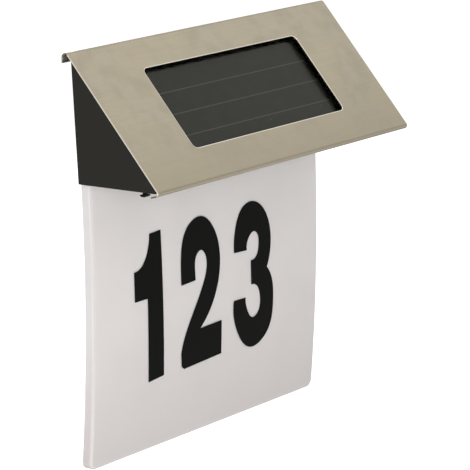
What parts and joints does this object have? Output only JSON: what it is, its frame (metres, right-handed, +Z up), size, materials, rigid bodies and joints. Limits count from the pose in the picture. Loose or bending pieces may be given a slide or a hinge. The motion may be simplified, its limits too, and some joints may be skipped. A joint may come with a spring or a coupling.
{
  "type": "solar house number sign",
  "caption": "Wall-hung solar house number sign: sloped steel roof with a solar window over a black wedge housing, and a bowed opal panel with black digits below.",
  "frame": {"origin": "middle of the back cover's wall face, which lies on the wall", "axes": "+X to the viewer's right, +Y into the wall, +Z up"},
  "size_m": [0.18, 0.0486, 0.1769],
  "materials": {
    "stainless_satin": "satin, fine brushed",
    "black_plastic": "satin moulded",
    "opal_acrylic": "opal, smooth",
    "black_vinyl": "matt film",
    "solar_cell": "dark silicon",
    "clear_resin": "clear, gloss",
    "busbar_silver": "thin printed conductor",
    "solar_board": "black board",
    "circuit_board": "green solder mask",
    "white_board": "white solder mask",
    "led_body": "white body with phosphor",
    "chip_black": "moulded package",
    "copper": "enamelled winding",
    "capacitor_can": "sleeved can",
    "battery_sleeve": "shrink sleeve",
    "spring_steel": "nickel plated",
    "screw_steel": "stainless, bright",
    "seal_rubber": "foam rubber",
    "foam_grey": "closed-cell foam",
    "tape": "adhesive tape",
    "wire_red": "insulated lead",
    "wire_black": "insulated lead"
  },
  "bodies": {
    "lamp": {"roof_cover": "stainless_satin", "cover_tape": "tape", "housing": "black_plastic", "back_cover": "black_plastic", "back_gasket": "seal_rubber", "cover_screws": "screw_steel", "number_panel": "opal_acrylic", "digit_1": "black_vinyl", "digit_2": "black_vinyl", "digit_3": "black_vinyl", "solar_board": "solar_board", "solar_cells": "solar_cell", "solar_busbars": "busbar_silver", "solar_clear": "clear_resin", "led_board": "white_board", "leds": "led_body", "light_lens": "clear_resin", "control_board": "circuit_board", "control_chips": "chip_black", "control_coil": "copper", "control_capacitor": "capacitor_can", "board_screws": "screw_steel", "battery": "battery_sleeve", "battery_contacts": "spring_steel", "battery_spring": "spring_steel", "switch_body": "chip_black", "wires_red": "wire_red", "wires_black": "wire_black"},
    "battery_door": {"battery_door": "black_plastic", "door_screws": "screw_steel", "door_pad": "foam_grey"},
    "switch_button": {"switch_button": "black_plastic"}
  },
  "joints": [
    {"name": "switch_slide", "type": "slide", "parent": "lamp", "child": "switch_button", "axis": [1, 0, 0], "range_m": [0, 0.002]},
    {"name": "battery_door_lift", "type": "slide", "parent": "lamp", "child": "battery_door", "axis": [0, 0, -1], "range_m": [0, 0.03]}
  ]
}
